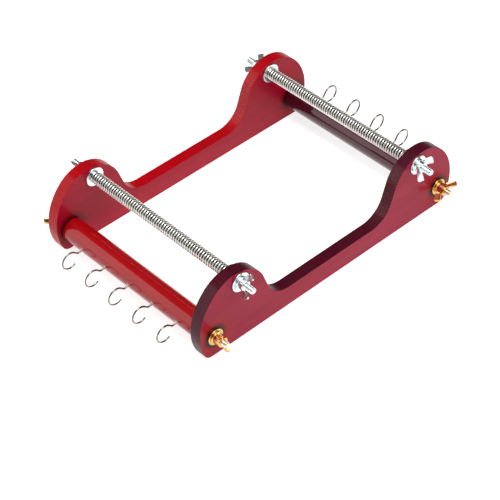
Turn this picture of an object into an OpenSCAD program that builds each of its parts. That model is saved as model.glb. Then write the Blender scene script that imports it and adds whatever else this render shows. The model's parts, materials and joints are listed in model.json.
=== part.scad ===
// Bead loom: two shaped side plates, held apart by two threaded rods that carry the bead-spacing
// springs, and two turning rollers with open hooks that hold and wind the warp threads.
// Origin: middle of the footprint, on the table. +X to the right plate, +Y to the back, +Z up.

/* [Side plates] */
// Clear width between the two side plates
gap_w = 180; // [140:1:260]
// Thickness of a side plate
plate_t = 12; // [8:0.5:18]
// Height of the low bar between the raised ends of a plate
bar_h = 21.5; // [16:0.5:26]
// Distance from the loom's middle to the outermost point of a plate's end
end_reach = 156.6; // [146:0.2:200]
// Radius of the round outer end of a plate
end_r = 54.4; // [50:0.2:60]
// Height of the centre of the round outer end
end_z = 28; // [22:0.5:34]
// Radius of the dome over the threaded rod
dome_r = 35.5; // [30:0.5:42]
// Direction, seen from the end's centre, in which the dome's arc runs into the end's arc
dome_angle = 46.5; // [38:0.5:55]
// Slope of the neck between the dome and the low bar
neck_angle = 70; // [62:1:80]
// Radius of the hollow curve from the low bar up to the neck
root_r = 26; // [16:1:32]
// Radius of the lower corner of each end
foot_r = 9; // [4:0.5:14]

/* [Rods and springs] */
// Diameter of the threaded rods
rod_d = 6; // [5:0.5:8]
// How far the rods stand out of the plates' outer faces
rod_out = 17.5; // [15:0.5:25]
// Depth of the rods' axes below the top of the plates
rod_depth = 11.3; // [10.5:0.1:16]
// Distance from the dome's centre inwards to the rods' axes
rod_inset = 5.7; // [0:0.1:8]
// Wire diameter of the springs
spring_wire = 1.6; // [1:0.1:2]
// Room between a rod and the inside of its spring
spring_clear = 1.25; // [0.6:0.05:2]
// Turns of each spring
spring_turns = 45; // [20:1:46]

/* [Rollers] */
// Diameter of the rollers
roller_d = 23.4; // [20:0.2:28]
// Distance from the outermost point of the plates inwards to the rollers' axes
roller_inset = 16.8; // [15:0.1:20]
// Height of the rollers' axes
roller_z = 22; // [18:0.5:28]
// Play between each end of a roller and its plate
roller_play = 0.25; // [0.15:0.05:0.6]
// Bevel on the rim of each roller end
roller_bevel = 1; // [0.3:0.1:2]
// Diameter of the studs in the roller ends
stud_d = 6; // [5:0.5:7]
// Length of each stud inside the roller
stud_in = 20; // [12:1:24]
// How far the studs stand out of the plates' outer faces
stud_out = 16; // [14:0.5:22]

/* [Hooks] */
// Distance from one hook to the next along a roller
hook_pitch = 32; // [24:0.5:34]
// Shift of the front row of hooks to the right
front_shift = 2; // [-3:0.5:3]
// Wire diameter of the hooks
hook_wire = 1.7; // [1.2:0.1:2.2]
// Radius of the round bend, at the middle of the wire
hook_r = 8.4; // [7:0.1:10]
// Angle that the round bend turns through
hook_sweep = 246; // [200:1:250]
// Straight length of wire between the roller and the first bend
hook_shank = 3.7; // [2:0.1:6]
// Radius of the small bend at the foot of a hook
hook_neck_r = 3; // [2:0.1:4]
// Angle of the small bend at the foot of a hook
hook_neck_angle = 48; // [35:1:60]
// Straight length between the two bends
hook_neck = 3.4; // [2:0.1:5]
// Straight length after the round bend
hook_tip = 2; // [1:0.1:4]
// Angle of the front hooks above the level
front_turn = -7; // [-12:1:15]
// Angle of the back hooks above the level
back_turn = 10; // [-12:1:15]

/* [Washers] */
// Outer diameter of the washers on the threaded rods
rod_washer_d = 19.2; // [16:0.2:20]
// Outer diameter of the washers on the roller studs
roller_washer_d = 16.4; // [14:0.2:18]
// Thickness of all the washers
washer_t = 1.6; // [1:0.1:2]
// Room between a washer's hole and the rod in it
washer_clear = 0.3; // [0.2:0.05:0.6]

/* [Wing nuts] */
// Wall of a wing nut's hub round its thread
hub_wall = 2.3; // [1.8:0.1:3]
// Height of the hub on the rod's wing nuts
rod_hub_h = 6.2; // [5:0.1:7.5]
// Height of the hub on the stud's wing nuts
stud_hub_h = 9.4; // [7:0.1:10.5]
// Distance from the axis to the middle of a wing tip, on the rods
rod_wing_reach = 11.2; // [10:0.1:13]
// Distance from the axis to the middle of a wing tip, on the studs
stud_wing_reach = 13.6; // [12:0.1:15]
// Height of the wing tips above the nut's bearing face
wing_rise = 10.2; // [8:0.1:12]
// Width of a wing at its tip
wing_w = 6.3; // [5:0.1:7]
// Thickness of the wings on the rods
rod_wing_t = 1.8; // [1.2:0.1:2.4]
// Thickness of the wings on the studs
stud_wing_t = 2.4; // [1.8:0.1:3]

/* [Hidden] */
$fn = 64;
outline_steps = 180;
LEFT = -1;
RIGHT = 1;
FRONT = -1;
BACK = 1;

// Running clearance of a thread in its nut, of a stud in its plate, and of a piece let into wood
thread_clear = 0.05;
stud_clear = 0.1;
rod_hole_clear = 0.2;
seat_clear = 0.02;
// Wood left between the tip of a hook's screw and a stud
hook_wood = 1.2;
// Swell of a hook's wire in its bends, how far a straight stretch runs on inside a bend, and the
// bevel on the cut end of the wire
bend_swell = 0.02;
bend_lap = 0.1;
hook_bevel = 0.25;
// Bevel on the ends of rods and studs
rod_bevel = 0.9;
// Overrun of a cutting tool past the face it cuts
over = 1;

// Outline of a raised end: centres of its arcs and the points where they meet
end_y = end_reach - end_r;
dome_y = end_y + (end_r - dome_r) * cos(dome_angle);
dome_z = end_z + (end_r - dome_r) * sin(dome_angle);
plate_top = dome_z + dome_r;
neck_y = dome_y - dome_r * sin(neck_angle);
neck_z = dome_z + dome_r * cos(neck_angle);
root_z = bar_h + root_r;
root_y = neck_y + (root_z - neck_z) / tan(neck_angle) - root_r / sin(neck_angle);
hollow_top = [root_y + root_r * sin(neck_angle), root_z - root_r * cos(neck_angle)];
foot_y = end_y + sqrt(pow(end_r - foot_r, 2) - pow(end_z - foot_r, 2));
foot_angle = atan2(foot_r - end_z, foot_y - end_y);

// Axes and faces that several pieces share
plate_in = gap_w / 2;
plate_out = plate_in + plate_t;
rod_y = dome_y - rod_inset;
rod_z = plate_top - rod_depth;
rod_r = rod_d / 2;
roller_y = end_reach - roller_inset;
roller_r = roller_d / 2;
roller_half = plate_in - roller_play;
stud_r = stud_d / 2;
hook_wire_r = hook_wire / 2;
hook_screw = roller_r - stud_r - hook_wood;

// Spring: length between the inner washers, radius of the wire's middle line, and its end runs
spring_len = gap_w - 2 * washer_t;
spring_r = rod_r + spring_clear + spring_wire / 2;
spring_bend = 0.9 * spring_wire;
spring_steps = 8;
spring_sides = 6;

// Wing nuts: turn of each nut's wings from the level, as it was left after tightening
front_left_rod_wings = 131;
front_right_rod_wings = 70;
back_left_rod_wings = 19;
back_right_rod_wings = 50;
front_left_stud_wings = 173;
front_right_stud_wings = 108;
back_left_stud_wings = 35;
back_right_stud_wings = 12;

// Outline of one raised end with half of the low bar, seen along the rods
module end_outline() {
    // Body of the end and the bar, with the hollow curve from the bar up to the neck cut into it
    difference() {
        polygon([
            [-over, 0], [foot_y, 0], [foot_y, foot_r], [end_y, end_z],
            [dome_y, dome_z], [neck_y, neck_z], hollow_top, [root_y, bar_h], [-over, bar_h]
        ]);
        translate([root_y, root_z]) circle(root_r);
    }
    // Round outer end
    intersection() {
        translate([end_y, end_z]) circle(end_r);
        translate([end_y, end_z]) polygon([
            [0, 0],
            2 * end_r * [cos(foot_angle), sin(foot_angle)],
            2 * end_r * [1, 0],
            2 * end_r * [cos(dome_angle), sin(dome_angle)]
        ]);
    }
    translate([dome_y, dome_z]) circle(dome_r);
    translate([foot_y, foot_r]) circle(foot_r);
}

// Turns an outline drawn in the plane of a plate upright, with its thickness along +X
module upright(thickness) {
    rotate([90, 0, 90]) linear_extrude(thickness) children();
}

module side_plate(side) {
    start = side == RIGHT ? plate_in : -plate_out;
    color("firebrick")
    difference() {
        translate([start, 0, 0]) upright(plate_t) {
            end_outline($fn = outline_steps);
            mirror([1, 0]) end_outline($fn = outline_steps);
        }
        for (end = [FRONT, BACK]) {
            translate([start - over, end * rod_y, rod_z])
                rotate([0, 90, 0]) cylinder(h = plate_t + 2 * over, r = rod_r + rod_hole_clear);
            translate([start - over, end * roller_y, roller_z])
                rotate([0, 90, 0]) cylinder(h = plate_t + 2 * over, r = stud_r + stud_clear);
        }
    }
}

// Round bar along +Z from 0 to len, with a bevel at its far end and, if asked, at its near end
module bevelled_bar(radius, len, bevel, both_ends) {
    near = both_ends ? bevel : 0;
    rotate_extrude() polygon([
        [0, 0],
        [radius - near, 0],
        [radius, near],
        [radius, len - bevel],
        [radius - bevel, len],
        [0, len]
    ]);
}

module threaded_rod(end) {
    color("silver")
    translate([-plate_out - rod_out, end * rod_y, rod_z])
        rotate([0, 90, 0])
            bevelled_bar(rod_r, 2 * (plate_out + rod_out), rod_bevel, true);
}

// One ring of a spring's wire: its place along the rod, its turn about it, and the slope of the
// wire, which is 0 where the wire runs round the rod and 90 where it runs along the rod
function spring_ring(x, turn, slope) =
    let (
        out = [0, cos(turn), sin(turn)],
        round = [0, -sin(turn), cos(turn)],
        along = sin(slope) * [1, 0, 0] + cos(slope) * round,
        across = cross(along, out)
    )
    [for (k = [0:spring_sides - 1])
        let (a = 360 * k / spring_sides)
        [x, 0, 0] + spring_r * out + spring_wire / 2 * (cos(a) * out + sin(a) * across)];

// A spring as places [x, turn, slope]: a straight run out of the washer, a bend into the coil,
// the coil, and the same the other way round
function spring_places() =
    let (
        coil_start = spring_wire + spring_bend,
        bend_turn = spring_bend / spring_r * 180 / PI,
        coil_len = spring_len - 2 * coil_start,
        pitch = coil_len / spring_turns,
        coil_slope = atan(pitch / (2 * PI * spring_r)),
        steps = spring_steps * spring_turns,
        all_turn = 2 * bend_turn + 360 * spring_turns
    )
    concat(
        [[0, 0, 90], [spring_wire, 0, 90]],
        [for (bend = [30, 60])
            [spring_wire + spring_bend * sin(bend), bend_turn * (1 - cos(bend)), 90 - bend]],
        [for (i = [0:steps])
            [coil_start + coil_len * i / steps, bend_turn + 360 * i / spring_steps, coil_slope]],
        [for (bend = [60, 30])
            [spring_len - spring_wire - spring_bend * sin(bend),
             all_turn - bend_turn * (1 - cos(bend)), 90 - bend]],
        [[spring_len - spring_wire, all_turn, 90], [spring_len, all_turn, 90]]
    );

function spring_middle(place) = [place[0], spring_r * cos(place[1]), spring_r * sin(place[1])];

// Least gap between the wire and its neighbouring turns, from three to thirteen rings away
function spring_gap(places) =
    min([for (i = [0:len(places) - 4])
        for (j = [i + 4:min(i + spring_steps + 5, len(places) - 1)])
            norm(spring_middle(places[i]) - spring_middle(places[j])) - spring_wire]);

// One unbroken tube through the spring's rings, with triangles only
module spring_tube() {
    places = spring_places();
    echo(str("least gap of a spring to itself, in mm: ", spring_gap(places)));
    rings = [for (p = places) spring_ring(p[0], p[1], p[2])];
    last = spring_sides * (len(rings) - 1);
    walls = [for (i = [0:len(rings) - 2])
        for (k = [0:spring_sides - 1])
            let (
                a = spring_sides * i + k,
                b = spring_sides * i + (k + 1) % spring_sides
            )
            each [
                [a, a + spring_sides, b + spring_sides],
                [a, b + spring_sides, b]
            ]];
    near_end = [for (k = [1:spring_sides - 2]) [0, k, k + 1]];
    far_end = [for (k = [1:spring_sides - 2]) [last, last + k + 1, last + k]];
    polyhedron(
        points = [for (ring = rings) each ring],
        faces = concat(walls, near_end, far_end),
        convexity = 10
    );
}

module spacing_spring(end) {
    color("lightgray")
    translate([-spring_len / 2, end * rod_y, rod_z]) spring_tube();
}

module washer(x, y, z, outer_d, inner_r) {
    translate([x, y, z]) rotate([0, 90, 0])
        difference() {
            cylinder(h = washer_t, d = outer_d);
            translate([0, 0, -over]) cylinder(h = washer_t + 2 * over, r = inner_r);
        }
}

module inner_washer(side, end) {
    x = side == RIGHT ? plate_in - washer_t : -plate_in;
    color("gainsboro") washer(x, end * rod_y, rod_z, rod_washer_d, rod_r + washer_clear);
}

module rod_washer(side, end) {
    x = side == RIGHT ? plate_out : -plate_out - washer_t;
    color("gainsboro") washer(x, end * rod_y, rod_z, rod_washer_d, rod_r + washer_clear);
}

module roller_washer(side, end) {
    x = side == RIGHT ? plate_out : -plate_out - washer_t;
    color("goldenrod") washer(x, end * roller_y, roller_z, roller_washer_d, stud_r + washer_clear);
}

// Outline of one wing, drawn with the axis of the nut up: a strip from the hub out to the tip,
// which is wider and has rounded corners
module wing_outline(root_x, root_z, tip_x, tip_z, tip_round) {
    len = norm([tip_x - root_x, tip_z - root_z]);
    half = wing_w / 2;
    translate([root_x, root_z]) rotate(atan2(tip_z - root_z, tip_x - root_x)) {
        polygon([
            [0, -0.62 * half], [len - tip_round, -half],
            [len - tip_round, half], [0, 0.62 * half]
        ]);
        translate([len - 2 * tip_round, -half + tip_round])
            square([2 * tip_round, wing_w - 2 * tip_round]);
        for (edge = [-1, 1])
            translate([len - tip_round, edge * (half - tip_round)]) circle(tip_round);
    }
}

// Wing nut on the axis +Z with its bearing face at 0 and its wings in the plane of X and Z
module wing_nut(bore_r, hub_h, reach, thickness) {
    hub_r = bore_r + hub_wall;
    flange_r = hub_r + 1.1;
    flange_h = 1.3;
    root_x = hub_r - 0.9;
    root_z = 0.55 * hub_h;
    difference() {
        union() {
            cylinder(h = flange_h, r = flange_r);
            cylinder(h = hub_h, r = hub_r);
            for (turn = [0, 180])
                rotate([0, 0, turn]) rotate([90, 0, 0])
                    translate([0, 0, -thickness / 2]) linear_extrude(thickness)
                        wing_outline(root_x, root_z, reach, wing_rise, 1);
        }
        translate([0, 0, -over]) cylinder(h = wing_rise + wing_w + over, r = bore_r);
    }
}

// Stands a wing nut on a washer at one side of the loom, with its wings turned from the level
module place_wing_nut(side, y, z, turn) {
    mirror([side == LEFT ? 1 : 0, 0, 0])
        translate([plate_out + washer_t, y, z])
            rotate([turn, 0, 0]) rotate([90, 0, 90])
                children();
}

module rod_wing_nut(side, end, turn) {
    color("gainsboro")
    place_wing_nut(side, end * rod_y, rod_z, turn)
        wing_nut(rod_r + thread_clear, rod_hub_h, rod_wing_reach, rod_wing_t);
}

module roller_wing_nut(side, end, turn) {
    color("goldenrod")
    place_wing_nut(side, end * roller_y, roller_z, turn)
        wing_nut(stud_r + thread_clear, stud_hub_h, stud_wing_reach, stud_wing_t);
}

// Puts a piece that is drawn with +X out of the roller and +Y up onto a roller
module on_roller(x, end, turn) {
    mirror([0, end == FRONT ? 1 : 0, 0])
        translate([x, roller_y, roller_z])
            rotate([90, 0, 90]) rotate([0, 0, turn])
                children();
}

function hook_x(end, number) = (number - 3) * hook_pitch + (end == FRONT ? front_shift : 0);
function hook_turn(end) = end == FRONT ? front_turn : back_turn;

module roller(end) {
    color("firebrick")
    difference() {
        translate([-roller_half, end * roller_y, roller_z]) rotate([0, 90, 0])
            bevelled_bar(roller_r, 2 * roller_half, roller_bevel, true);
        for (side = [LEFT, RIGHT])
            translate([side * (roller_half - stud_in / 2 + over / 2), end * roller_y, roller_z])
                rotate([0, 90, 0])
                    cylinder(h = stud_in + over, r = stud_r + seat_clear, center = true);
        for (number = [1:5])
            on_roller(hook_x(end, number), end, hook_turn(end))
                translate([roller_r - hook_screw, 0, 0]) rotate([0, 90, 0])
                    cylinder(h = hook_screw + over, r = hook_wire_r + seat_clear);
    }
}

module roller_stud(side, end) {
    color("lightslategray")
    translate([side * (roller_half - stud_in), end * roller_y, roller_z])
        rotate([0, side * 90, 0])
            bevelled_bar(stud_r, plate_out + stud_out - roller_half + stud_in, rod_bevel, false);
}

// Round wire along +X
module straight_wire(from, to) {
    translate([from, 0, 0]) rotate([0, 90, 0])
        cylinder(h = to - from, r = hook_wire_r);
}

// Round wire bent in the plane of X and Y about the origin, from one angle through another
module bent_wire(radius, from, through) {
    rotate([0, 0, from]) rotate_extrude(angle = through)
        translate([radius, 0]) circle(hook_wire_r + bend_swell);
}

// Open hook: screw end in the wood, shank, small bend up, and a round bend back to the roller
module hook(end, number) {
    neck_start = [hook_neck_r * sin(hook_neck_angle), hook_neck_r * (1 - cos(hook_neck_angle))];
    neck_way = [cos(hook_neck_angle), sin(hook_neck_angle)];
    bend_start = [hook_shank, 0] + neck_start + hook_neck * neck_way;
    bend_centre = bend_start + hook_r * [neck_way[1], -neck_way[0]];
    tip_angle = 90 + hook_neck_angle - hook_sweep;
    tip_start = bend_centre + hook_r * [cos(tip_angle), sin(tip_angle)];
    color("dimgray")
    on_roller(hook_x(end, number), end, hook_turn(end)) translate([roller_r, 0, 0]) {
        straight_wire(-hook_screw, hook_shank + bend_lap);
        translate([hook_shank, hook_neck_r, 0]) bent_wire(hook_neck_r, -90, hook_neck_angle);
        translate([hook_shank + neck_start[0], neck_start[1], 0])
            rotate([0, 0, hook_neck_angle]) straight_wire(-bend_lap, hook_neck + bend_lap);
        translate([bend_centre[0], bend_centre[1], 0])
            bent_wire(hook_r, tip_angle, hook_sweep);
        translate([tip_start[0], tip_start[1], 0])
            rotate([0, 0, hook_neck_angle - hook_sweep])
                translate([-bend_lap, 0, 0]) rotate([0, 90, 0])
                    bevelled_bar(hook_wire_r, hook_tip + bend_lap, hook_bevel, false);
    }
}

side_plate(LEFT);  // left_side_plate
side_plate(RIGHT);  // right_side_plate
threaded_rod(FRONT);  // front_threaded_rod
threaded_rod(BACK);  // back_threaded_rod
spacing_spring(FRONT);  // front_spring
spacing_spring(BACK);  // back_spring
inner_washer(LEFT, FRONT);  // front_left_inner_washer
inner_washer(RIGHT, FRONT);  // front_right_inner_washer
inner_washer(LEFT, BACK);  // back_left_inner_washer
inner_washer(RIGHT, BACK);  // back_right_inner_washer
rod_washer(LEFT, FRONT);  // front_left_rod_washer
rod_washer(RIGHT, FRONT);  // front_right_rod_washer
rod_washer(LEFT, BACK);  // back_left_rod_washer
rod_washer(RIGHT, BACK);  // back_right_rod_washer
rod_wing_nut(LEFT, FRONT, front_left_rod_wings);  // front_left_rod_wing_nut
rod_wing_nut(RIGHT, FRONT, front_right_rod_wings);  // front_right_rod_wing_nut
rod_wing_nut(LEFT, BACK, back_left_rod_wings);  // back_left_rod_wing_nut
rod_wing_nut(RIGHT, BACK, back_right_rod_wings);  // back_right_rod_wing_nut
roller(FRONT);  // front_roller
roller(BACK);  // back_roller
roller_stud(LEFT, FRONT);  // front_left_roller_stud
roller_stud(RIGHT, FRONT);  // front_right_roller_stud
roller_stud(LEFT, BACK);  // back_left_roller_stud
roller_stud(RIGHT, BACK);  // back_right_roller_stud
hook(FRONT, 1);  // front_hook_1
hook(FRONT, 2);  // front_hook_2
hook(FRONT, 3);  // front_hook_3
hook(FRONT, 4);  // front_hook_4
hook(FRONT, 5);  // front_hook_5
hook(BACK, 1);  // back_hook_1
hook(BACK, 2);  // back_hook_2
hook(BACK, 3);  // back_hook_3
hook(BACK, 4);  // back_hook_4
hook(BACK, 5);  // back_hook_5
roller_washer(LEFT, FRONT);  // front_left_roller_washer
roller_washer(RIGHT, FRONT);  // front_right_roller_washer
roller_washer(LEFT, BACK);  // back_left_roller_washer
roller_washer(RIGHT, BACK);  // back_right_roller_washer
roller_wing_nut(LEFT, FRONT, front_left_stud_wings);  // front_left_roller_wing_nut
roller_wing_nut(RIGHT, FRONT, front_right_stud_wings);  // front_right_roller_wing_nut
roller_wing_nut(LEFT, BACK, back_left_stud_wings);  // back_left_roller_wing_nut
roller_wing_nut(RIGHT, BACK, back_right_stud_wings);  // back_right_roller_wing_nut
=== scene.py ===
"""A tabletop bead loom: red lacquered side plates and rollers, threaded rods with bead-spacing
springs, and bright and yellow wing nuts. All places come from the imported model, in metres."""

import json
from math import atan2, cos, pi, radians, sin

import bpy
from mathutils import Matrix, Vector

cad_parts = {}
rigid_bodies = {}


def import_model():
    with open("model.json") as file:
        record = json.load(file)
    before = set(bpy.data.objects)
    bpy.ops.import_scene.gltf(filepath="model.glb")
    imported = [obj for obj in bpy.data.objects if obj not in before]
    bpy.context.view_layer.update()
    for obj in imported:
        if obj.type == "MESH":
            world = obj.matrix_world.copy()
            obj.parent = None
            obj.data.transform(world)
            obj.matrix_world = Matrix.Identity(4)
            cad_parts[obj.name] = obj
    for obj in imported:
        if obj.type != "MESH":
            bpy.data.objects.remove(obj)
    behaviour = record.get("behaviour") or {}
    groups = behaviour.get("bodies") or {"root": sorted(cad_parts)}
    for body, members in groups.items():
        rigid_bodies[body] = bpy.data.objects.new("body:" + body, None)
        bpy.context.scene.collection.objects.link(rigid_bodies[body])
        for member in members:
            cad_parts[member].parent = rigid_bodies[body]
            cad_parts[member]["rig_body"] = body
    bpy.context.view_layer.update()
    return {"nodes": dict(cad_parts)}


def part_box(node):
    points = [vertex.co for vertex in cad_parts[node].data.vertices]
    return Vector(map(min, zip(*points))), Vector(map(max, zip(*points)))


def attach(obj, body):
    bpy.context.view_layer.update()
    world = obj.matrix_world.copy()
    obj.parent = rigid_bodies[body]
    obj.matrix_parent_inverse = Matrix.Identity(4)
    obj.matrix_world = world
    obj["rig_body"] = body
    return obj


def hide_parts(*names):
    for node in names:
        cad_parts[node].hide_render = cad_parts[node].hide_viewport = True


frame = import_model()

MM = 0.001
SAME_PLACE = 0.001 * MM
# Least share of a face's normal in a direction for the face to look that way
FACING = 0.9
SIDES = {"left": -1, "right": 1}
ENDS = {"front": -1, "back": 1}


# Selecting, editing and finishing pieces

def take(*pieces):
    """Selects only these pieces and makes the first one active."""
    bpy.ops.object.select_all(action="DESELECT")
    for piece in pieces:
        piece.select_set(True)
    bpy.context.view_layer.objects.active = pieces[0]


def open_edit(piece, kind, chosen):
    """Opens edit mode with only the chosen corners, edges or faces selected, given by number."""
    take(piece)
    mesh = piece.data
    wanted = set(chosen)
    groups = {"corners": mesh.vertices, "edges": mesh.edges, "faces": mesh.polygons}
    for name, group in groups.items():
        group.foreach_set("select", [name == kind and i in wanted for i in range(len(group))])
    bpy.context.tool_settings.mesh_select_mode = [kind == name for name in groups]
    bpy.ops.object.mode_set(mode="EDIT")


def pick_corners(piece, test):
    """Opens edit mode on the corners whose place passes a test."""
    open_edit(piece, "corners", [v.index for v in piece.data.vertices if test(v.co)])


def pick_edges(piece, test):
    """Opens edit mode on the edges whose two ends pass a test."""
    points = [v.co.copy() for v in piece.data.vertices]
    ends = [tuple(edge.vertices) for edge in piece.data.edges]
    open_edit(piece, "edges", [i for i, (a, b) in enumerate(ends) if test(points[a], points[b])])


def pick_faces(piece, test):
    """Opens edit mode on the faces whose centre and normal pass a test."""
    open_edit(piece, "faces", [f.index for f in piece.data.polygons if test(f.center, f.normal)])


def pick_all(piece):
    """Opens edit mode on the whole piece."""
    open_edit(piece, "faces", range(len(piece.data.polygons)))
    bpy.ops.mesh.select_all(action="SELECT")


def close_edit():
    """Goes back to object mode."""
    bpy.ops.object.mode_set(mode="OBJECT")


def settle(piece, name=None):
    """Puts a piece's place, turn and scale into its mesh, and names it."""
    take(piece)
    bpy.ops.object.transform_apply(location=True, rotation=True, scale=True)
    if name:
        piece.name = name
        piece.data.name = name
    return piece


def finish_with(piece, kind, **settings):
    """Adds a modifier and applies it."""
    take(piece)
    modifier = piece.modifiers.new(kind.lower(), kind)
    for setting, value in settings.items():
        setattr(modifier, setting, value)
    bpy.ops.object.modifier_apply(modifier=modifier.name)


def face_outwards(piece):
    """Merges doubled corners and turns every face outwards."""
    pick_all(piece)
    bpy.ops.mesh.remove_doubles(threshold=SAME_PLACE)
    bpy.ops.mesh.normals_make_consistent(inside=False)
    close_edit()


def smooth(piece, angle=40):
    """Shades a piece smooth across edges that are less sharp than an angle."""
    take(piece)
    bpy.ops.object.shade_smooth_by_angle(angle=radians(angle), keep_sharp_edges=False)


def round_edges(piece, width, angle, segments=3):
    """Rounds every edge that is sharper than an angle."""
    finish_with(piece, "BEVEL", width=width, segments=segments, limit_method="ANGLE",
                angle_limit=radians(angle), use_clamp_overlap=True)


def join_shapes(piece, other, operation="UNION"):
    """Joins another closed shape to a piece, or cuts it away, and removes the other."""
    finish_with(piece, "BOOLEAN", operation=operation, object=other, solver="EXACT")
    bpy.data.objects.remove(other)


def copy_piece(piece, name, matrix):
    """A copy of a piece with its own mesh, put elsewhere."""
    mesh = piece.data.copy()
    copy = bpy.data.objects.new(name, mesh)
    bpy.context.scene.collection.objects.link(copy)
    copy.matrix_world = matrix
    return settle(copy, name)


def dress(piece, node, slot, material):
    """Puts a new piece in the place of a packed one, on the same body, with its finish."""
    body = frame["nodes"][node]["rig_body"]
    piece.data.materials.clear()
    for finish in material if isinstance(material, tuple) else (material,):
        piece.data.materials.append(finish)
    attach(piece, body)
    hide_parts(node)


def share_out(piece, rule):
    """Gives each face the finish whose number the rule makes of its centre and normal."""
    numbers = [rule(face.center, face.normal) for face in piece.data.polygons]
    piece.data.polygons.foreach_set("material_index", numbers)


def centre(node):
    """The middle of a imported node's box."""
    low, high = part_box(node)
    return (low + high) / 2


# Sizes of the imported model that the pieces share

plate_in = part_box("right_side_plate")[0].x
plate_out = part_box("right_side_plate")[1].x
rod_low, rod_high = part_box("front_threaded_rod")
rod_r = (rod_high.z - rod_low.z) / 2
rod_end = rod_high.x
stud_low, stud_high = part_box("front_right_roller_stud")
stud_r = (stud_high.z - stud_low.z) / 2
washer_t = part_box("front_right_rod_washer")[1].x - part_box("front_right_rod_washer")[0].x
roller_r = (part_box("front_roller")[1].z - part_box("front_roller")[0].z) / 2

AXES = {
    (end, kind): centre(f"{end}_right_{kind}_washer")
    for end in ENDS for kind in ("rod", "roller")
}


# Shader helpers and shared effects

def maths(tree, operation, first, second=None, clamp=False):
    """A maths node with plain numbers or sockets for its values, and its result."""
    node = tree.nodes.new("ShaderNodeMath")
    node.operation = operation
    node.use_clamp = clamp
    for place, value in enumerate((first, second)):
        if value is None:
            continue
        if isinstance(value, (int, float)):
            node.inputs[place].default_value = value
        else:
            tree.links.new(value, node.inputs[place])
    return node.outputs[0]


def spread(tree, value, low, high, to_low=0.0, to_high=1.0):
    """Maps a value from one range to another, held at its ends."""
    node = tree.nodes.new("ShaderNodeMapRange")
    node.interpolation_type = "SMOOTHSTEP"
    tree.links.new(value, node.inputs["Value"])
    node.inputs["From Min"].default_value = low
    node.inputs["From Max"].default_value = high
    node.inputs["To Min"].default_value = to_low
    node.inputs["To Max"].default_value = to_high
    return node.outputs["Result"]


def blend_colours(tree, share, first, second):
    """Mixes two colours, each a colour or a socket, by a share."""
    node = tree.nodes.new("ShaderNodeMix")
    node.data_type = "RGBA"
    tree.links.new(share, node.inputs["Factor"])
    for socket, value in ((node.inputs[6], first), (node.inputs[7], second)):
        if isinstance(value, tuple):
            socket.default_value = (*value, 1)
        else:
            tree.links.new(value, socket)
    return node.outputs[2]


def stretched(tree, scale):
    """Object coordinates, stretched by a scale for each axis."""
    place = tree.nodes.new("ShaderNodeTexCoord")
    mapping = tree.nodes.new("ShaderNodeMapping")
    mapping.inputs["Scale"].default_value = scale
    tree.links.new(place.outputs["Object"], mapping.inputs["Vector"])
    return mapping.outputs["Vector"]


def noise(tree, vector, scale, detail, rough):
    """Cloudy noise from 0 to 1."""
    node = tree.nodes.new("ShaderNodeTexNoise")
    node.inputs["Scale"].default_value = scale
    node.inputs["Detail"].default_value = detail
    node.inputs["Roughness"].default_value = rough
    tree.links.new(vector, node.inputs["Vector"])
    return node.outputs["Fac"]


def bump(tree, height, strength, distance):
    """A normal for a fine relief of that height."""
    node = tree.nodes.new("ShaderNodeBump")
    node.inputs["Strength"].default_value = strength
    node.inputs["Distance"].default_value = distance
    tree.links.new(height, node.inputs["Height"])
    return node.outputs["Normal"]


def new_group(name, inputs, outputs):
    """A shader node group with named inputs and outputs."""
    tree = bpy.data.node_groups.new(name, "ShaderNodeTree")
    for label, kind, value in inputs:
        socket = tree.interface.new_socket(label, in_out="INPUT", socket_type=kind)
        if value is not None:
            socket.default_value = value
    for label, kind in outputs:
        tree.interface.new_socket(label, in_out="OUTPUT", socket_type=kind)
    start = tree.nodes.new("NodeGroupInput")
    end = tree.nodes.new("NodeGroupOutput")
    return tree, start, end


# Shares of the grain's lines and of the clouds in the stain's depth, and of the pores in the relief
GRAIN_DEPTH = 0.5
CLOUD_DEPTH = 0.35
PORE_RELIEF = 0.4


def lacquered_grain():
    """Wood under stain and lacquer: long faint grain, cloudy stain and fine dust in the coat."""
    tree, start, end = new_group(
        "Lacquered grain",
        [("Vector", "NodeSocketVector", None), ("Stain", "NodeSocketColor", None),
         ("Deep stain", "NodeSocketColor", None), ("Grain", "NodeSocketFloat", GRAIN_DEPTH)],
        [("Colour", "NodeSocketColor"), ("Roughness", "NodeSocketFloat"),
         ("Height", "NodeSocketFloat")])
    vector = start.outputs["Vector"]
    lines = noise(tree, vector, scale=900, detail=5, rough=0.65)
    clouds = noise(tree, vector, scale=60, detail=3, rough=0.55)
    pores = noise(tree, vector, scale=3200, detail=2, rough=0.5)
    dark_lines = spread(tree, lines, low=0.35, high=0.7)
    dark_clouds = spread(tree, clouds, low=0.4, high=0.75)
    grain = maths(tree, "MULTIPLY", dark_lines, start.outputs["Grain"])
    depth = maths(tree, "ADD", grain, maths(tree, "MULTIPLY", dark_clouds, CLOUD_DEPTH), clamp=True)
    colour = blend_colours(tree, depth, start.outputs["Stain"], start.outputs["Deep stain"])
    rough = spread(tree, clouds, low=0.3, high=0.7, to_low=0.36, to_high=0.5)
    line_relief = maths(tree, "MULTIPLY", lines, 1 - PORE_RELIEF)
    pore_relief = maths(tree, "MULTIPLY", pores, PORE_RELIEF)
    height = maths(tree, "ADD", line_relief, pore_relief)
    tree.links.new(colour, end.inputs["Colour"])
    tree.links.new(rough, end.inputs["Roughness"])
    tree.links.new(height, end.inputs["Height"])
    return tree


# Range of roughness that the fine brushing adds to plated steel
BRUSHING = 0.16


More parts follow.
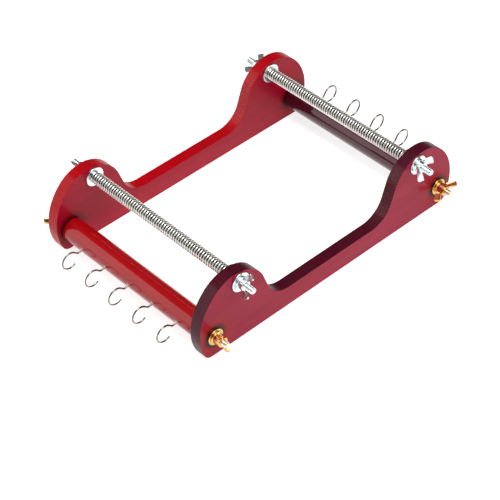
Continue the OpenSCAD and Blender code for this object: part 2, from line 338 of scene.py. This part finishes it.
def plated_skin():
    """Electroplated steel: two tones in soft patches, with fine brushing and stains."""
    tree, start, end = new_group(
        "Plated skin",
        [("Vector", "NodeSocketVector", None), ("Tone", "NodeSocketColor", None),
         ("Second tone", "NodeSocketColor", None), ("Patch size", "NodeSocketFloat", 350.0),
         ("Least roughness", "NodeSocketFloat", 0.18)],
        [("Colour", "NodeSocketColor"), ("Roughness", "NodeSocketFloat"),
         ("Height", "NodeSocketFloat")])
    vector = start.outputs["Vector"]
    patches = tree.nodes.new("ShaderNodeTexNoise")
    patches.inputs["Detail"].default_value = 2.0
    tree.links.new(vector, patches.inputs["Vector"])
    tree.links.new(start.outputs["Patch size"], patches.inputs["Scale"])
    fine = noise(tree, vector, scale=4000, detail=3, rough=0.6)
    share = spread(tree, patches.outputs["Fac"], low=0.38, high=0.64)
    colour = blend_colours(tree, share, start.outputs["Tone"], start.outputs["Second tone"])
    brushed = maths(tree, "MULTIPLY", fine, BRUSHING)
    rough = maths(tree, "ADD", start.outputs["Least roughness"], brushed)
    tree.links.new(colour, end.inputs["Colour"])
    tree.links.new(rough, end.inputs["Roughness"])
    tree.links.new(fine, end.inputs["Height"])
    return tree


GRAIN = lacquered_grain()
PLATING = plated_skin()


def new_material(name):
    """A material with its node tree and its main shader."""
    material = bpy.data.materials.new(name)
    material.use_nodes = True
    tree = material.node_tree
    return material, tree, tree.nodes["Principled BSDF"]


def use_group(tree, group, vector, **values):
    """Places a shared effect in a material with its own values."""
    node = tree.nodes.new("ShaderNodeGroup")
    node.node_tree = group
    tree.links.new(vector, node.inputs["Vector"])
    for name, value in values.items():
        value = (*value, 1) if isinstance(value, tuple) else value
        node.inputs[name.replace("_", " ")].default_value = value
    return node


def lacquer(name, stain, deep, grain_scale, coat=0.22, coat_rough=0.16):
    """Red stained wood under satin lacquer, with its grain along the axis of the least scale."""
    material, tree, shader = new_material(name)
    skin = use_group(tree, GRAIN, stretched(tree, grain_scale), Stain=stain, Deep_stain=deep,
                     Grain=GRAIN_DEPTH)
    tree.links.new(skin.outputs["Colour"], shader.inputs["Base Color"])
    tree.links.new(skin.outputs["Roughness"], shader.inputs["Roughness"])
    normal = bump(tree, skin.outputs["Height"], strength=0.12, distance=0.05 * MM)
    tree.links.new(normal, shader.inputs["Normal"])
    shader.inputs["Specular IOR Level"].default_value = 0.08
    shader.inputs["Coat Weight"].default_value = coat
    shader.inputs["Coat Roughness"].default_value = coat_rough
    shader.inputs["Coat IOR"].default_value = 1.45
    return material, tree, shader


def plated(name, tone, second, patch_size=350.0, least_rough=0.18):
    """Plated steel in two tones."""
    material, tree, shader = new_material(name)
    skin = use_group(tree, PLATING, stretched(tree, (1, 1, 1)), Tone=tone, Second_tone=second,
                     Patch_size=patch_size, Least_roughness=least_rough)
    tree.links.new(skin.outputs["Colour"], shader.inputs["Base Color"])
    tree.links.new(skin.outputs["Roughness"], shader.inputs["Roughness"])
    normal = bump(tree, skin.outputs["Height"], strength=0.1, distance=0.02 * MM)
    tree.links.new(normal, shader.inputs["Normal"])
    shader.inputs["Metallic"].default_value = 1.0
    return material


def round_mask(tree, y, z, inner, outer):
    """Full within the inner distance of a line along X, and fading out to the outer one."""
    place = tree.nodes.new("ShaderNodeTexCoord")
    flat = tree.nodes.new("ShaderNodeVectorMath")
    flat.operation = "MULTIPLY"
    flat.inputs[1].default_value = (0, 1, 1)
    away = tree.nodes.new("ShaderNodeVectorMath")
    away.operation = "DISTANCE"
    away.inputs[1].default_value = (0, y, z)
    tree.links.new(place.outputs["Object"], flat.inputs[0])
    tree.links.new(flat.outputs["Vector"], away.inputs[0])
    return spread(tree, away.outputs["Value"], inner, outer, to_low=1.0, to_high=0.0)


def tint(finish, mask, colour):
    """Lays a colour over a lacquer where a mask is set."""
    _, tree, shader = finish
    under = shader.inputs["Base Color"].links[0].from_socket
    tree.links.new(blend_colours(tree, mask, under, colour), shader.inputs["Base Color"])


def sanding(tree, turn):
    """Fine scratches in one direction across an edge."""
    place = tree.nodes.new("ShaderNodeTexCoord")
    mapping = tree.nodes.new("ShaderNodeMapping")
    mapping.inputs["Rotation"].default_value = (0, 0, turn)
    mapping.inputs["Scale"].default_value = (0.12, 1, 0.4)
    tree.links.new(place.outputs["Object"], mapping.inputs["Vector"])
    streaks = noise(tree, mapping.outputs["Vector"], scale=2600, detail=2, rough=0.6)
    return spread(tree, streaks, low=0.52, high=0.7)


# One red lacquer covers the plates and rollers. The copies below differ for how light falls on each
# piece: the left plate has the lit copy.
BRIGHT_RED = (0.37, 0.0004, 0.020)
BRIGHT_RED_DEEP = (0.24, 0.0002, 0.009)
EDGE_RED = (0.38, 0.0005, 0.005)
EDGE_RED_DEEP = (0.24, 0.0003, 0.002)
# A much darker copy of the same red, as painted shade, for the right plate's edges and the back roller
SHADED_COPY_RED = (0.06, 0.002, 0.010)
SHADED_COPY_RED_DEEP = (0.03, 0.001, 0.005)
# A darker copy of the same red, as painted shade, for the right plate's faces
MIDDLE_RED = (0.32, 0.002, 0.030)
MIDDLE_RED_DEEP = (0.20, 0.001, 0.014)
ROLLER_RED = (0.33, 0.0005, 0.003)
ROLLER_RED_DEEP = (0.18, 0.0005, 0.0005)
RAW_WOOD = (0.62, 0.45, 0.30)

ALONG_Y = (1.0, 0.06, 1.0)
ALONG_X = (0.05, 1.0, 1.0)

ROLLER_Y = AXES["back", "roller"].y
ROLLER_Z = AXES["back", "roller"].z
# A painted reflection of the yellow washers in the lacquer, round the roller ends
PAINTED_REFLECTION_RED = (0.30, 0.002, 0.004)
# Painted shade where the roller ends meet the plates
SHADED_RED = (0.05, 0.001, 0.006)
# Sanded wood lightened with a painted milky reflection, for the far inward curve of the plates
SANDED_AND_SHEEN_RED = (0.20, 0.045, 0.050)

# Radii up to which a patch of colour is full, and at which it has faded out
PAINTED_REFLECTION_RADII = (8 * MM, 26 * MM)
SHADE_RADII = {"left": (9 * MM, 20 * MM), "right": (9 * MM, 15 * MM)}
WEAR_AND_SHEEN_RADII = (16 * MM, 34 * MM)
WEAR_AND_SHEEN_Y = 78 * MM
WEAR_AND_SHEEN_Z = 48 * MM
SANDING_TURN = 0.7


def face_finish(side, stain, deep):
    """Lacquer for a plate's faces: painted shade around the roller ends, and a painted reflection of
    the yellow washers warming the red next to them.
    """
    finish = lacquer(f"{side}_plate_face", stain, deep, ALONG_Y)
    material, tree, _ = finish
    for y in (-ROLLER_Y, ROLLER_Y):
        tint(finish, round_mask(tree, y, ROLLER_Z, *PAINTED_REFLECTION_RADII), PAINTED_REFLECTION_RED)
        tint(finish, round_mask(tree, y, ROLLER_Z, *SHADE_RADII[side]), SHADED_RED)
    return material


def edge_finish(side, stain, deep, wear_and_sheen):
    """Lacquer for a plate's sawn edges, with sanding marks on the far inward curve, lightened there
    with a painted milky reflection.
    """
    finish = lacquer(f"{side}_plate_edge", stain, deep, ALONG_X)
    material, tree, _ = finish
    zone = round_mask(tree, WEAR_AND_SHEEN_Y, WEAR_AND_SHEEN_Z, *WEAR_AND_SHEEN_RADII)
    marks = maths(tree, "ADD", sanding(tree, SANDING_TURN), sanding(tree, -SANDING_TURN), clamp=True)
    worn_and_sheen = maths(tree, "MULTIPLY", maths(tree, "MULTIPLY", zone, marks), wear_and_sheen)
    tint(finish, worn_and_sheen, SANDED_AND_SHEEN_RED)
    return material


PLATE_FINISHES = {
    "left": (
        face_finish("left", BRIGHT_RED, BRIGHT_RED_DEEP),
        edge_finish("left", EDGE_RED, EDGE_RED_DEEP, wear_and_sheen=1.0)),
    # The right plate's faces and edges take darker copies of the red as painted shade
    "right": (
        face_finish("right", MIDDLE_RED, MIDDLE_RED_DEEP),
        edge_finish("right", SHADED_COPY_RED, SHADED_COPY_RED_DEEP, wear_and_sheen=0.4)),
}

HOOK_PITCH = centre("front_hook_2").x - centre("front_hook_1").x
# Angle of each row of hooks above the level, in degrees
HOOK_TURNS = {"front": -7, "back": 10}
# Reach of a chip around a hook's root, full and faded out, along the roller and round it
CHIP_ALONG = (1.3 * MM, 2.3 * MM)
CHIP_ROUND = (1.3 * MM, 2.5 * MM)


def roller_finish(end, stain, deep, coat):
    """Glossy lacquer for a roller, chipped to the raw wood where each hook was screwed in."""
    finish = lacquer(f"{end}_roller_wood", stain, deep, ALONG_X, coat=coat, coat_rough=0.05)
    material, tree, _ = finish
    place = tree.nodes.new("ShaderNodeTexCoord")
    split = tree.nodes.new("ShaderNodeSeparateXYZ")
    tree.links.new(place.outputs["Object"], split.inputs["Vector"])
    along = maths(tree, "SUBTRACT", split.outputs["X"], centre(f"{end}_hook_3").x)
    # Distance along the roller from the nearest hook
    from_hook = maths(tree, "PINGPONG", along, HOOK_PITCH / 2)
    near_hook = spread(tree, from_hook, *CHIP_ALONG, to_low=1.0, to_high=0.0)
    turn = radians(HOOK_TURNS[end])
    root_y = ENDS[end] * (ROLLER_Y + roller_r * cos(turn))
    root_z = ROLLER_Z + roller_r * sin(turn)
    near_root = round_mask(tree, root_y, root_z, *CHIP_ROUND)
    tint(finish, maths(tree, "MULTIPLY", near_hook, near_root), RAW_WOOD)
    return material


ROLLER_WOOD = {
    "front": roller_finish("front", ROLLER_RED, ROLLER_RED_DEEP, coat=0.75),
    # The back roller takes the much darker copy of the red as painted shade
    "back": roller_finish("back", SHADED_COPY_RED, SHADED_COPY_RED_DEEP, coat=1.0),
}

bright_zinc = plated("bright_zinc", tone=(0.86, 0.92, 0.92), second=(0.66, 0.76, 0.77))
spring_zinc = plated("spring_zinc", tone=(0.80, 0.79, 0.74), second=(0.68, 0.68, 0.64),
                     patch_size=200.0, least_rough=0.2)
# The rod's zinc darkened as painted shade, for the part inside the springs
rod_zinc_painted_shade = plated("rod_zinc_painted_shade", tone=(0.07, 0.07, 0.065), second=(0.04, 0.04, 0.04),
                  patch_size=300.0, least_rough=0.35)
rod_end_zinc = plated("rod_end_zinc", tone=(0.80, 0.88, 0.88), second=(0.58, 0.68, 0.68),
                      patch_size=300.0, least_rough=0.15)
yellow_zinc = plated("yellow_zinc", tone=(0.84, 0.52, 0.16), second=(0.52, 0.50, 0.17),
                     patch_size=420.0, least_rough=0.16)
copper_zinc = plated("copper_zinc", tone=(0.88, 0.36, 0.13), second=(0.72, 0.50, 0.20),
                     patch_size=260.0, least_rough=0.2)
stud_zinc = plated("stud_zinc", tone=(0.80, 0.76, 0.66), second=(0.60, 0.50, 0.30),
                   patch_size=300.0, least_rough=0.16)
dark_nickel = plated("dark_nickel", tone=(0.36, 0.33, 0.30), second=(0.20, 0.18, 0.165),
                     patch_size=300.0, least_rough=0.12)


# Side plates

PLATE_ROUNDING = 0.8 * MM
FLAT_WITHIN = radians(0.5)


def side_plate(side):
    """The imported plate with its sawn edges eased, its faces and its edges each in their finish."""
    node = f"{side}_side_plate"
    plate = copy_piece(frame["nodes"][node], f"{side}_plate_body", Matrix.Identity(4))
    face_outwards(plate)
    pick_all(plate)
    bpy.ops.mesh.dissolve_limited(angle_limit=FLAT_WITHIN)
    close_edit()
    round_edges(plate, PLATE_ROUNDING, angle=60)
    smooth(plate)
    finish_with(plate, "WEIGHTED_NORMAL", weight=100, keep_sharp=True)
    dress(plate, node, "plate_wood", PLATE_FINISHES[side])
    share_out(plate, lambda place, normal: 0 if abs(normal.x) > FACING else 1)


for side in SIDES:
    side_plate(side)


# Threaded rods and studs

THREAD_PITCH = 1.0 * MM
THREAD_DEPTH = 0.61 * MM
# Width of the crest of a turn, as a share of the pitch
THREAD_CREST = 0.14
THREAD_STEPS = 20
THREAD_MERGE = 0.005 * MM
# Turns that are cut off at each end. They don't start a whole number of steps out, so that no
# corner falls on a cut
SPARE_TURNS = 2
THREAD_LEAD = 1.987 * THREAD_PITCH
# An open end is drawn in by a factor over each of these shares of a short length
END_DRAW = 0.8 * MM
END_DRAW_SHARES = (1.0, 0.65, 0.3)
END_DRAW_FACTOR = 0.95


def threaded_bar(name, radius, low, high, y, z, both_ends=True):
    """A bar along X with a rolled thread over its whole length, drawn in at its open ends."""
    turns = int((high - low) / THREAD_PITCH) + 2 * SPARE_TURNS
    start = low - THREAD_LEAD
    bpy.ops.object.select_all(action="DESELECT")
    bpy.ops.mesh.primitive_plane_add(
        size=1, location=(start, 0, radius - THREAD_DEPTH / 2), rotation=(pi / 2, 0, 0))
    bar = bpy.context.object
    bar.scale = (THREAD_PITCH, THREAD_DEPTH, 1)
    settle(bar)
    halfway = radius - THREAD_DEPTH / 2
    pick_all(bar)
    bpy.ops.mesh.delete(type="ONLY_FACE")
    close_edit()
    pick_edges(bar, lambda a, b: a.z < halfway and b.z < halfway)
    bpy.ops.mesh.delete(type="EDGE")
    close_edit()
    pick_edges(bar, lambda a, b: a.z > halfway and b.z > halfway)
    bpy.ops.transform.resize(value=(THREAD_CREST, 1, 1))
    close_edit()
    finish_with(bar, "SCREW", axis="X", angle=2 * pi, screw_offset=THREAD_PITCH,
                iterations=turns, steps=THREAD_STEPS, render_steps=THREAD_STEPS,
                use_merge_vertices=True, merge_threshold=THREAD_MERGE, use_smooth_shade=False)
    for x, way in ((low, -1), (high, 1)):
        pick_all(bar)
        bpy.ops.mesh.bisect(plane_co=(x, 0, 0), plane_no=(way, 0, 0), use_fill=True,
                            clear_outer=True, threshold=SAME_PLACE)
        close_edit()
    face_outwards(bar)
    for x in (low, high) if both_ends else (high,):
        for share in END_DRAW_SHARES:
            pick_corners(bar, lambda place: abs(place.x - x) < END_DRAW * share)
            bpy.ops.transform.resize(
                value=(1, END_DRAW_FACTOR, END_DRAW_FACTOR), center_override=(x, 0, 0))
            close_edit()
    smooth(bar, angle=30)
    bar.location = (0, y, z)
    return settle(bar, name)


rod_axis = AXES["front", "rod"]
rod = threaded_bar("front_rod", rod_r, -rod_end, rod_end, rod_axis.y, rod_axis.z)
back_rod_axis = AXES["back", "rod"]
back_rod = copy_piece(rod, "back_rod", Matrix.Translation((0, back_rod_axis.y - rod_axis.y, 0)))
for piece, node in ((rod, "front_threaded_rod"), (back_rod, "back_threaded_rod")):
    # Darkened inside the spring as painted shade, so the gaps between its turns look dark; bright
    # outside the plates
    dress(piece, node, "rod_steel", (rod_zinc_painted_shade, rod_end_zinc))
    share_out(piece, lambda place, normal: 1 if abs(place.x) > plate_in else 0)

stud = threaded_bar("stud_pattern", stud_r, stud_low.x, stud_high.x, y=0, z=0, both_ends=False)
for end in ENDS:
    axis = AXES[end, "roller"]
    for side, way in SIDES.items():
        place = Matrix.Translation((0, axis.y, axis.z)) @ Matrix.Rotation(0 if way > 0 else pi, 4, "Z")
        piece = copy_piece(stud, f"{end}_{side}_stud", place)
        dress(piece, f"{end}_{side}_roller_stud", "stud_steel", stud_zinc)
bpy.data.objects.remove(stud)


# Springs

SPRING_WIRE = 1.6 * MM
SPRING_TURNS = 60
SPRING_STEPS = 28
SPRING_SIDES = 14
SPRING_CLEAR = 1.25 * MM
spring_r = rod_r + SPRING_CLEAR + SPRING_WIRE / 2
spring_low = -plate_in + washer_t + SPRING_WIRE / 2


def spacing_spring(end):
    """An open-wound spring from washer to washer, of round wire with square-cut ends."""
    axis = AXES[end, "rod"]
    bpy.ops.object.select_all(action="DESELECT")
    bpy.ops.mesh.primitive_circle_add(
        vertices=SPRING_SIDES, radius=SPRING_WIRE / 2, fill_type="NOTHING",
        location=(spring_low, 0, spring_r), rotation=(pi / 2, 0, 0))
    spring = settle(bpy.context.object)
    finish_with(spring, "SCREW", axis="X", angle=2 * pi,
                screw_offset=-2 * spring_low / SPRING_TURNS, iterations=SPRING_TURNS,
                steps=SPRING_STEPS, render_steps=SPRING_STEPS, use_smooth_shade=True)
    pick_all(spring)
    bpy.ops.mesh.region_to_loop()
    bpy.ops.mesh.fill_holes(sides=0)
    close_edit()
    spring.location = (0, axis.y, axis.z)
    settle(spring, f"{end}_spacing_spring")
    face_outwards(spring)
    smooth(spring, angle=50)
    dress(spring, f"{end}_spring", "spring_steel", spring_zinc)


for end in ENDS:
    spacing_spring(end)


# Washers

WASHER_SIDES = 72
WASHER_CLEAR = 0.3 * MM
WASHER_ROUNDING = 0.3 * MM


def washer(node, name, bar_r, slot, material):
    """A stamped flat washer: one disc with its hole, and its edges rounded by the press."""
    low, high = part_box(node)
    middle = (low + high) / 2
    outer = (high.z - low.z) / 2
    bpy.ops.object.select_all(action="DESELECT")
    bpy.ops.mesh.primitive_cylinder_add(
        vertices=WASHER_SIDES, radius=outer, depth=high.x - low.x, location=middle,
        rotation=(0, pi / 2, 0))
    piece = settle(bpy.context.object, name)
    pick_faces(piece, lambda place, normal: abs(normal.x) > FACING)
    bpy.ops.mesh.inset(thickness=outer - bar_r - WASHER_CLEAR, use_individual=True)
    bpy.ops.mesh.bridge_edge_loops()
    close_edit()
    round_edges(piece, WASHER_ROUNDING, angle=50)
    smooth(piece)
    dress(piece, node, slot, material)


for end in ENDS:
    for side in SIDES:
        washer(f"{end}_{side}_inner_washer", f"{end}_{side}_inside_washer", rod_r,
               "zinc_washer", bright_zinc)
        washer(f"{end}_{side}_rod_washer", f"{end}_{side}_clamp_washer", rod_r,
               "zinc_washer", bright_zinc)
        washer(f"{end}_{side}_roller_washer", f"{end}_{side}_yellow_washer", stud_r,
               "yellow_washer", yellow_zinc)


# Wing nuts

NUT_SIDES = 48
BORE_SIDES = 40
THREAD_CLEAR = 0.05 * MM
FLANGE_WIDTH = 1.1 * MM
FLANGE_HEIGHT = 1.3 * MM
HUB_WALL = 2.3 * MM
HUB_TAPER = 0.92
HUB_ROUNDING = 0.5 * MM
WING_RISE = 10.2 * MM
WING_WIDTH = 6.3 * MM
# Share of a wing's length that keeps the width of its root, the root's share of the full width,
# and the growth at each step from there out to the tip
ROOT_RUN = 0.2
ROOT_WIDTH = 0.66
WING_GROWTH = (1.16, 1.11, 1.07, 1.06, 1.03)
# How far a wing starts inside the hub's surface, and how far below half of the hub's height
ROOT_INSIDE = 2.2 * MM
ROOT_DROP = 1.2 * MM
TIP_ROUNDING = 1.3 * MM
PANEL_MARGIN = 1.1 * MM
# Size of the grid on which a nut is cast in one piece
CAST_GRAIN = 0.22 * MM


def one_wing(root, reach, thickness, sunk):
    """One wing from the hub out to its tip, drawn up and out, wider at the tip."""
    bpy.ops.object.select_all(action="DESELECT")
    way = Vector((reach - root[0], 0, WING_RISE - root[1]))
    length = way.length
    bpy.ops.mesh.primitive_plane_add(
        size=1, location=(length * ROOT_RUN / 2, 0, 0), rotation=(pi / 2, 0, 0))
    wing = bpy.context.object
    wing.scale = (length * ROOT_RUN, WING_WIDTH * ROOT_WIDTH, 1)
    settle(wing)
    run = length * (1 - ROOT_RUN) / len(WING_GROWTH)
    for grow in WING_GROWTH:
        edge_x = max(v.co.x for v in wing.data.vertices)
        pick_edges(wing, lambda a, b: min(a.x, b.x) > edge_x - SAME_PLACE)
        bpy.ops.mesh.extrude_region_move(TRANSFORM_OT_translate={"value": (run, 0, 0)})
        bpy.ops.transform.resize(value=(1, 1, grow))
        close_edit()
    tip_x = max(v.co.x for v in wing.data.vertices)
    pick_corners(wing, lambda place: place.x > tip_x - SAME_PLACE)
    bpy.ops.mesh.bevel(offset=TIP_ROUNDING, segments=4, affect="VERTICES")
    close_edit()
    finish_with(wing, "SOLIDIFY", thickness=thickness, offset=0)
    if sunk:
        root_end = length * ROOT_RUN
        pick_faces(wing, lambda place, normal: abs(normal.y) > FACING and place.x > root_end)
        bpy.ops.mesh.inset(thickness=PANEL_MARGIN, depth=-sunk, use_boundary=True)
        close_edit()
    face_outwards(wing)
    wing.rotation_euler = (0, -atan2(way.z, way.x), 0)
    wing.location = (root[0], 0, root[1])
    return settle(wing)


def wing_nut(name, bar_r, hub_height, reach, thickness, sunk=0.0):
    """A cast wing nut on the axis +Z, with its bearing face at 0."""
    bore = bar_r + THREAD_CLEAR
    hub_r = bore + HUB_WALL
    flange_r = hub_r + FLANGE_WIDTH
    bpy.ops.object.select_all(action="DESELECT")
    bpy.ops.mesh.primitive_cylinder_add(
        vertices=NUT_SIDES, radius=flange_r, depth=FLANGE_HEIGHT,
        location=(0, 0, FLANGE_HEIGHT / 2))
    nut = settle(bpy.context.object, name)
    pick_faces(nut, lambda place, normal: normal.z > FACING)
    bpy.ops.mesh.inset(thickness=flange_r - hub_r)
    bpy.ops.mesh.extrude_region_move(
        TRANSFORM_OT_translate={"value": (0, 0, hub_height - FLANGE_HEIGHT)})
    bpy.ops.transform.resize(value=(HUB_TAPER, HUB_TAPER, 1))
    bpy.ops.mesh.bevel(offset=HUB_ROUNDING, segments=2, affect="EDGES")
    close_edit()
    root = (hub_r - ROOT_INSIDE, hub_height / 2 - ROOT_DROP)
    wings = [one_wing(root, reach, thickness, sunk) for _ in range(2)]
    wings[1].rotation_euler = (0, 0, pi)
    settle(wings[1])
    for wing in wings:
        join_shapes(nut, wing)
    finish_with(nut, "REMESH", mode="VOXEL", voxel_size=CAST_GRAIN)
    finish_with(nut, "SMOOTH", factor=0.6, iterations=3)
    # The drill is long enough to pass between the wings as well
    bpy.ops.mesh.primitive_cylinder_add(
        vertices=BORE_SIDES, radius=bore, depth=4 * hub_height, location=(0, 0, hub_height))
    join_shapes(nut, settle(bpy.context.object), "DIFFERENCE")
    smooth(nut)
    return nut


def place_nut(pattern, name, end, side, kind, turn):
    """Stands a wing nut on its washer, with its wings turned from the level."""
    axis = AXES[end, kind]
    way = SIDES[side]
    upright = Matrix(((0, 0, way), (1, 0, 0), (0, way, 0))).to_4x4()
    place = Matrix.Translation((way * (plate_out + washer_t), axis.y, axis.z))
    return copy_piece(pattern, name, place @ Matrix.Rotation(radians(turn), 4, "X") @ upright)


# How far each nut's wings were turned from the level when it was tightened, in degrees
WING_TURNS = {
    ("front", "left", "rod"): 131, ("front", "right", "rod"): 70,
    ("back", "left", "rod"): 19, ("back", "right", "rod"): 50,
    ("front", "left", "roller"): 173, ("front", "right", "roller"): 108,
    ("back", "left", "roller"): 35, ("back", "right", "roller"): 12,
}
patterns = {
    "rod": wing_nut("rod_nut", rod_r, hub_height=6.2 * MM, reach=11.2 * MM, thickness=1.8 * MM),
    "roller": wing_nut("roller_nut", stud_r, hub_height=9.4 * MM, reach=13.6 * MM,
                       thickness=2.4 * MM, sunk=0.5 * MM),
}
nut_finish = {"rod": ("zinc_wing_nut", bright_zinc), "roller": ("yellow_wing_nut", copper_zinc)}
for (end, side, kind), turn in WING_TURNS.items():
    piece = place_nut(patterns[kind], f"{end}_{side}_{kind}_winged_nut", end, side, kind, turn)
    dress(piece, f"{end}_{side}_{kind}_wing_nut", *nut_finish[kind])
for pattern in patterns.values():
    bpy.data.objects.remove(pattern)


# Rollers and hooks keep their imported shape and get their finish

HOOKS_IN_ROW = 5


def refinish(node, material):
    """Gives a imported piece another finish."""
    mesh = frame["nodes"][node].data
    mesh.materials.clear()
    mesh.materials.append(material)


for end in ENDS:
    refinish(f"{end}_roller", ROLLER_WOOD[end])
    for number in range(1, HOOKS_IN_ROW + 1):
        refinish(f"{end}_hook_{number}", dark_nickel)


# Floor, lights and camera

FLOOR_SIZE = 12.0
FLOOR_GREY = 0.5
# The floor gives off some light of its own, so that it stays white in the shadows
FLOOR_GLOW = 0.8
STUDIO_GLOW = 0.05
WHITE = (1, 1, 1, 1)

bpy.ops.object.select_all(action="DESELECT")
bpy.ops.mesh.primitive_plane_add(size=FLOOR_SIZE, location=(0, 0, 0))
floor = bpy.context.object
floor.name = "floor"
floor_paint, _, floor_shader = new_material("floor_paint")
floor_shader.inputs["Base Color"].default_value = (FLOOR_GREY, FLOOR_GREY, FLOOR_GREY, 1)
floor_shader.inputs["Roughness"].default_value = 0.9
floor_shader.inputs["Emission Color"].default_value = WHITE
floor_shader.inputs["Emission Strength"].default_value = FLOOR_GLOW
floor.data.materials.append(floor_paint)

scene = bpy.context.scene
scene.view_settings.view_transform = "Standard"
world = bpy.data.worlds.new("studio")
scene.world = world
world.use_nodes = True
studio_light = world.node_tree.nodes["Background"]
studio_light.inputs["Color"].default_value = WHITE
studio_light.inputs["Strength"].default_value = STUDIO_GLOW


def outward(azimuth, elevation):
    """A direction away from the loom. Azimuth 0 is to the front and 90 to the right."""
    around = radians(azimuth)
    above = radians(elevation)
    return Vector((sin(around) * cos(above), -cos(around) * cos(above), sin(above)))


def soft_light(name, azimuth, elevation, distance, width, height, power):
    """A soft box that faces the loom."""
    way = outward(azimuth, elevation)
    light = bpy.data.lights.new(name, "AREA")
    light.shape = "RECTANGLE"
    light.size = width
    light.size_y = height
    light.energy = power
    lamp = bpy.data.objects.new(name, light)
    scene.collection.objects.link(lamp)
    lamp.location = way * distance
    lamp.rotation_mode = "QUATERNION"
    lamp.rotation_quaternion = way.to_track_quat("Z", "Y")


soft_light("front_left_box", azimuth=-45, elevation=25, distance=2.0, width=1.8, height=1.8, power=20)
soft_light("top_box", azimuth=60, elevation=85, distance=2.2, width=1.5, height=1.5, power=55)
soft_light("right_box", azimuth=100, elevation=22, distance=2.2, width=1.8, height=1.2, power=16)

CAMERA_AZIMUTH = 47.634
CAMERA_ELEVATION = 42.626
CAMERA_ROLL = -1.349
CAMERA_DISTANCE = 1.654051
CAMERA_SIDE = -0.002359
CAMERA_RISE = -0.026308
FOCAL_PIXELS = 1783.566
IMAGE_PIXELS = 500
SENSOR = 36.0

roll = radians(CAMERA_ROLL)
back = outward(CAMERA_AZIMUTH, CAMERA_ELEVATION)
level_right = outward(CAMERA_AZIMUTH + 90, 0)
level_up = back.cross(level_right)
right = cos(roll) * level_right + sin(roll) * level_up
up = -sin(roll) * level_right + cos(roll) * level_up
lens = bpy.data.cameras.new("camera")
lens.sensor_width = SENSOR
lens.sensor_fit = "HORIZONTAL"
lens.lens = SENSOR * FOCAL_PIXELS / IMAGE_PIXELS
camera = bpy.data.objects.new("camera", lens)
scene.collection.objects.link(camera)
turn = Matrix((right, up, back)).transposed().to_4x4()
spot = back * CAMERA_DISTANCE + right * CAMERA_SIDE + up * CAMERA_RISE
camera.matrix_world = Matrix.Translation(spot) @ turn
scene.camera = camera
